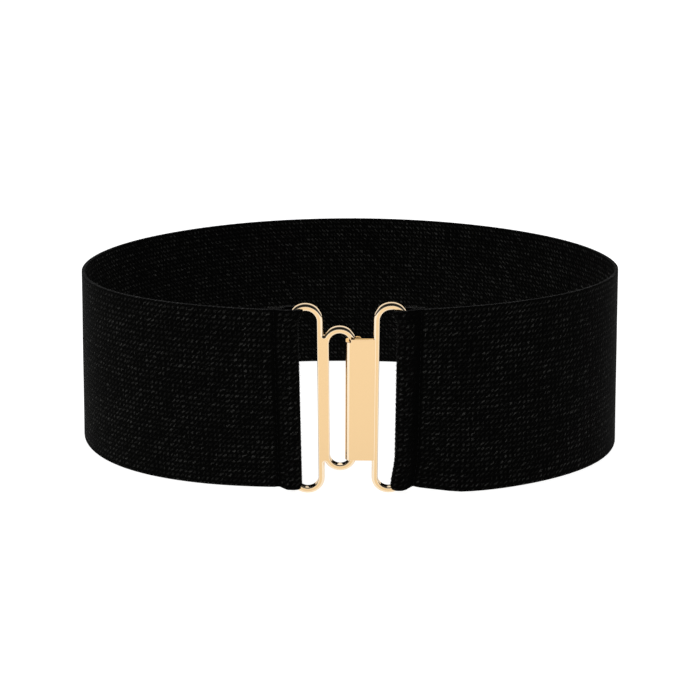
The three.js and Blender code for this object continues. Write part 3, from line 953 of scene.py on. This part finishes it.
def weave_group():
    """Slanting cords of short floats, read from the flat cloth's own place in metres."""
    group = bpy.data.node_groups.new("slanting_weave", "ShaderNodeTree")
    for name, value in (("Unevenness", 1.5), ("Fleck Share", 0.4), ("Patchiness", 0.6)):
        socket = group.interface.new_socket(name, in_out="INPUT", socket_type="NodeSocketFloat")
        socket.default_value = value
    for name in ("Cord", "Fleck", "Height"):
        group.interface.new_socket(name, in_out="OUTPUT", socket_type="NodeSocketFloat")
    given = group.nodes.new("NodeGroupInput")
    result = group.nodes.new("NodeGroupOutput")
    place = group.nodes.new("ShaderNodeUVMap")
    place.uv_map = "laid_out"
    split = group.nodes.new("ShaderNodeSeparateXYZ")
    group.links.new(place.outputs[0], split.inputs[0])
    long, high = split.outputs["X"], split.outputs["Y"]

    def drift(scale, detail):
        noise_node = group.nodes.new("ShaderNodeTexNoise")
        noise_node.inputs["Scale"].default_value = scale
        noise_node.inputs["Detail"].default_value = detail
        group.links.new(place.outputs[0], noise_node.inputs["Vector"])
        return calculate(group, "SUBTRACT", noise_node.outputs["Fac"], 0.5)

    shift = calculate(group, "MULTIPLY", drift(WANDER_SCALE, 2), given.outputs["Unevenness"])
    across = calculate(group, "SUBTRACT", calculate(group, "MULTIPLY", long, sin(RIB_ANGLE)),
                       calculate(group, "MULTIPLY", high, cos(RIB_ANGLE)))
    along = calculate(group, "ADD", calculate(group, "MULTIPLY", long, cos(RIB_ANGLE)),
                      calculate(group, "MULTIPLY", high, sin(RIB_ANGLE)))
    cords = calculate(group, "ADD", calculate(group, "DIVIDE", across, RIB_PITCH), shift)
    cord_wave = calculate(group, "SINE", calculate(group, "MULTIPLY", cords, 2 * pi))
    grain = drift(GRAIN_SCALE, 1)
    grainy = calculate(group, "MULTIPLY_ADD", grain, GRAIN_GAIN, cord_wave)
    cord = map_range(group, grainy, *CORD_LEVELS, 0.0, 1.0)
    step = calculate(group, "FLOOR", calculate(group, "ADD", cords, QUARTER))
    floats = calculate(group, "SUBTRACT", calculate(group, "DIVIDE", along, FLOAT_LENGTH),
                       calculate(group, "MULTIPLY", step, FLOAT_STEP))
    floats = calculate(group, "ADD", floats, calculate(group, "MULTIPLY", shift, FLOAT_WANDER))
    float_wave = calculate(group, "SINE", calculate(group, "MULTIPLY", floats, 2 * pi))
    uneven = calculate(group, "MULTIPLY_ADD", drift(FLOAT_SCALE, 1), FLOAT_GAIN, float_wave)
    bead = map_range(group, uneven, *FLOAT_LEVELS, FLOAT_LOWEST, 1.0)
    height = calculate(group, "MULTIPLY", cord, bead)
    cell = group.nodes.new("ShaderNodeCombineXYZ")
    group.links.new(calculate(group, "FLOOR", calculate(group, "ADD", floats, QUARTER)),
                    cell.inputs["X"])
    group.links.new(step, cell.inputs["Y"])
    chance = group.nodes.new("ShaderNodeTexWhiteNoise")
    chance.noise_dimensions = "2D"
    group.links.new(cell.outputs[0], chance.inputs["Vector"])
    luck = chance.outputs["Value"]
    # Flecks: lucky cells at the tips of the fibres, painted lighter as glints
    threshold = calculate(group, "SUBTRACT", 1.0, given.outputs["Fleck Share"])
    above = calculate(group, "MAXIMUM", calculate(group, "SUBTRACT", luck, threshold), 0)
    lucky = calculate(group, "DIVIDE", above, given.outputs["Fleck Share"])
    frayed = calculate(group, "ADD", height, drift(TIP_SCALE, 1))
    tip = map_range(group, frayed, *TIP_LEVELS, 0.0, 1.0)
    patches = calculate(group, "MULTIPLY", drift(PATCH_SCALE, 3), given.outputs["Patchiness"])
    patches = calculate(group, "MULTIPLY_ADD", patches, PATCH_GAIN, 1.0)
    patches = calculate(group, "MAXIMUM", patches, PATCH_LOWEST)
    fibres = calculate(group, "MAXIMUM", calculate(group, "MULTIPLY_ADD", grain, FIBRE_GAIN, 1.0), 0.0)
    chosen = calculate(group, "MULTIPLY_ADD", luck, LUCK_GAIN, LUCK_LOWEST)
    shown = calculate(group, "MULTIPLY", height, chosen)
    shown = calculate(group, "MULTIPLY", calculate(group, "MULTIPLY", shown, fibres), patches)
    fibre_glint = calculate(group, "MULTIPLY", calculate(group, "MULTIPLY", lucky, tip), patches)
    group.links.new(shown, result.inputs["Cord"])
    group.links.new(fibre_glint, result.inputs["Fleck"])
    group.links.new(height, result.inputs["Height"])
    return group


def mixed(tree, factor, first, second):
    node = tree.nodes.new("ShaderNodeMix")
    node.data_type = "RGBA"
    colours = [socket for socket in node.inputs if socket.type == "RGBA"]
    for socket, value in zip(colours, (first, second)):
        if isinstance(value, tuple):
            socket.default_value = (*value, 1)
        else:
            tree.links.new(value, socket)
    tree.links.new(factor, node.inputs["Factor"])
    return next(socket for socket in node.outputs if socket.type == "RGBA")


def cloth_material(name, dark, light, fibre_glint, fleck_share, depth):
    """Black elastic: dark between its cords, a little lighter on them, with pale flecks of fibre that hold
    painted glints.
    """
    material = bpy.data.materials.new(name)
    material.use_nodes = True
    tree = material.node_tree
    shader = tree.nodes["Principled BSDF"]
    weave = tree.nodes.new("ShaderNodeGroup")
    weave.node_tree = slanting_weave
    weave.inputs["Fleck Share"].default_value = fleck_share
    # Beside each seam the cords and flecks fade to the dark base: painted shade of the seam's dent, together
    # with cloth flattened by the stitches
    pressed_shade = tree.nodes.new("ShaderNodeAttribute")
    pressed_shade.attribute_name = "pressed_shade"
    loose = calculate(tree, "SUBTRACT", 1.0, pressed_shade.outputs["Fac"])
    cord = calculate(tree, "MULTIPLY", weave.outputs["Cord"], loose)
    bright = calculate(tree, "MULTIPLY", weave.outputs["Fleck"], loose)
    yarn = mixed(tree, cord, dark, light)
    flecked = mixed(tree, bright, yarn, fibre_glint)
    tree.links.new(flecked, shader.inputs["Base Color"])
    bump = tree.nodes.new("ShaderNodeBump")
    bump.inputs["Strength"].default_value = 0.6
    bump.inputs["Distance"].default_value = depth
    tree.links.new(weave.outputs["Height"], bump.inputs["Height"])
    tree.links.new(bump.outputs["Normal"], shader.inputs["Normal"])
    shader.inputs["Roughness"].default_value = 0.85
    shader.inputs["Specular IOR Level"].default_value = 0.02
    return material


# How fine the thread's and the plating's unevenness is, in features for each metre. The plating's
# hairlines are drawn out along the height.
SPIN_SCALE = 1800
SPIN_LEVELS = (0.35, 0.7)
CLOUD_SCALE = 120
HAIRLINE_SCALES = (9000, 9000, 500)
HAIRLINE_DEPTH = 0.00001


def thread_material(name, dark, light):
    """Spun thread or loose fibre, uneven along its length."""
    material = bpy.data.materials.new(name)
    material.use_nodes = True
    tree = material.node_tree
    shader = tree.nodes["Principled BSDF"]
    place = tree.nodes.new("ShaderNodeTexCoord")
    spun = tree.nodes.new("ShaderNodeTexNoise")
    spun.inputs["Scale"].default_value = SPIN_SCALE
    tree.links.new(place.outputs["Object"], spun.inputs["Vector"])
    strength = map_range(tree, spun.outputs["Fac"], *SPIN_LEVELS, 0.0, 1.0)
    tree.links.new(mixed(tree, strength, dark, light), shader.inputs["Base Color"])
    shader.inputs["Roughness"].default_value = 0.8
    shader.inputs["Specular IOR Level"].default_value = 0.1
    return material


def plating_group():
    """Polished plating: a faint unevenness of its gloss, with hairline scratches."""
    group = bpy.data.node_groups.new("polished_plating", "ShaderNodeTree")
    for name, value in (("Gloss", 0.10), ("Wear", 0.05)):
        socket = group.interface.new_socket(name, in_out="INPUT", socket_type="NodeSocketFloat")
        socket.default_value = value
    for name in ("Roughness", "Height"):
        group.interface.new_socket(name, in_out="OUTPUT", socket_type="NodeSocketFloat")
    given = group.nodes.new("NodeGroupInput")
    result = group.nodes.new("NodeGroupOutput")
    place = group.nodes.new("ShaderNodeTexCoord")
    clouds = group.nodes.new("ShaderNodeTexNoise")
    clouds.inputs["Scale"].default_value = CLOUD_SCALE
    clouds.inputs["Detail"].default_value = 4
    group.links.new(place.outputs["Object"], clouds.inputs["Vector"])
    stretch = group.nodes.new("ShaderNodeMapping")
    stretch.inputs["Scale"].default_value = HAIRLINE_SCALES
    group.links.new(place.outputs["Object"], stretch.inputs["Vector"])
    hairlines = group.nodes.new("ShaderNodeTexNoise")
    hairlines.inputs["Scale"].default_value = 1
    hairlines.inputs["Detail"].default_value = 2
    group.links.new(stretch.outputs[0], hairlines.inputs["Vector"])
    worn = calculate(group, "MULTIPLY", clouds.outputs["Fac"], given.outputs["Wear"])
    group.links.new(calculate(group, "ADD", given.outputs["Gloss"], worn), result.inputs["Roughness"])
    group.links.new(hairlines.outputs["Fac"], result.inputs["Height"])
    return group


def metal_material(name, color, grazing, gloss, wear):
    """Polished plating of one colour, which turns towards the grazing colour at its edges."""
    material = bpy.data.materials.new(name)
    material.use_nodes = True
    tree = material.node_tree
    shader = tree.nodes["Principled BSDF"]
    plating = tree.nodes.new("ShaderNodeGroup")
    plating.node_tree = polished_plating
    plating.inputs["Gloss"].default_value = gloss
    plating.inputs["Wear"].default_value = wear
    tree.links.new(plating.outputs["Roughness"], shader.inputs["Roughness"])
    bump = tree.nodes.new("ShaderNodeBump")
    bump.inputs["Strength"].default_value = 0.05
    bump.inputs["Distance"].default_value = HAIRLINE_DEPTH
    tree.links.new(plating.outputs["Height"], bump.inputs["Height"])
    tree.links.new(bump.outputs["Normal"], shader.inputs["Normal"])
    shader.inputs["Base Color"].default_value = (*color, 1)
    shader.inputs["Metallic"].default_value = 1
    shader.inputs["Specular Tint"].default_value = (*grazing, 1)
    return material


slanting_weave = weave_group()
polished_plating = plating_group()
# Each cloth's fleck colour is a painted glint of its fibres
outside = cloth_material(
    "elastic_outside", dark=(0.0007, 0.0007, 0.0006), light=(0.0120, 0.0119, 0.0113),
    fibre_glint=(0.034, 0.034, 0.032), fleck_share=0.5, depth=0.0002)
inside = cloth_material(
    "elastic_inside", dark=(0.0011, 0.0011, 0.0010), light=(0.0150, 0.0149, 0.0142),
    fibre_glint=(0.038, 0.038, 0.036), fleck_share=0.45, depth=0.00015)
# The band's edges, several times lighter than its faces: a painted highlight of the top edge catching light
# from above, given to every edge
selvedge = cloth_material(
    "elastic_edge_highlight", dark=(0.008, 0.008, 0.008), light=(0.040, 0.040, 0.040),
    fibre_glint=(0.07, 0.07, 0.07), fleck_share=0.4, depth=0.0001)
sewing_thread = thread_material(
    "sewing_thread", dark=(0.0004, 0.0004, 0.0004), light=(0.0015, 0.0015, 0.0015))
loose_fibre = thread_material("loose_fibre", dark=(0.015, 0.015, 0.015), light=(0.110, 0.108, 0.104))
gold = (
    metal_material("pale_gold", color=(0.765, 0.535, 0.287), grazing=(0.85, 0.65, 0.40),
                   gloss=0.09, wear=0.05),
    # A lighter, glossier gold for edges and roundings: a painted highlight
    metal_material("pale_gold_highlight", color=(0.84, 0.69, 0.50), grazing=(0.84, 0.72, 0.58),
                   gloss=0.07, wear=0.02),
)

eye_casting = cast_eye()
place_in_frame = to_frame(eye_casting)
bmesh.ops.transform(eye_casting, matrix=place_in_frame, verts=eye_casting.verts[:])
eye_half = add_piece("eye_half", eye_casting, "eye_metal", *gold)
polish(eye_half)
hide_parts("eye_frame")

hook_casting = cast_hook()
bmesh.ops.transform(hook_casting, matrix=place_in_frame, verts=hook_casting.verts[:])
hook_half = add_piece("hook_half", hook_casting, "hook_metal", *gold)
polish(hook_half)
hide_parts("hook_frame")

lean_out = measure_leans(place_in_frame.inverted())
band_grid = weave_band()
bmesh.ops.transform(band_grid, matrix=place_in_frame, verts=band_grid.verts[:])
woven_band = add_piece("woven_band", band_grid, "elastic_fabric", outside, inside, selvedge)
cloth_wall = woven_band.modifiers.new("wall", "SOLIDIFY")
cloth_wall.thickness = BAND_THICKNESS
cloth_wall.offset = 0
cloth_wall.material_offset = 1
# The rims take the lighter edge cloth, a painted highlight
cloth_wall.material_offset_rim = 2
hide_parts("elastic_band")

seam_stitches = sew_seams()
bmesh.ops.transform(seam_stitches, matrix=place_in_frame, verts=seam_stitches.verts[:])
stitching = add_piece("seam_stitches", seam_stitches, "elastic_fabric", sewing_thread)
fibre_mesh = fray_band()
bmesh.ops.transform(fibre_mesh, matrix=place_in_frame, verts=fibre_mesh.verts[:])
fraying = add_piece("frayed_fibres", fibre_mesh, "elastic_fabric", loose_fibre)
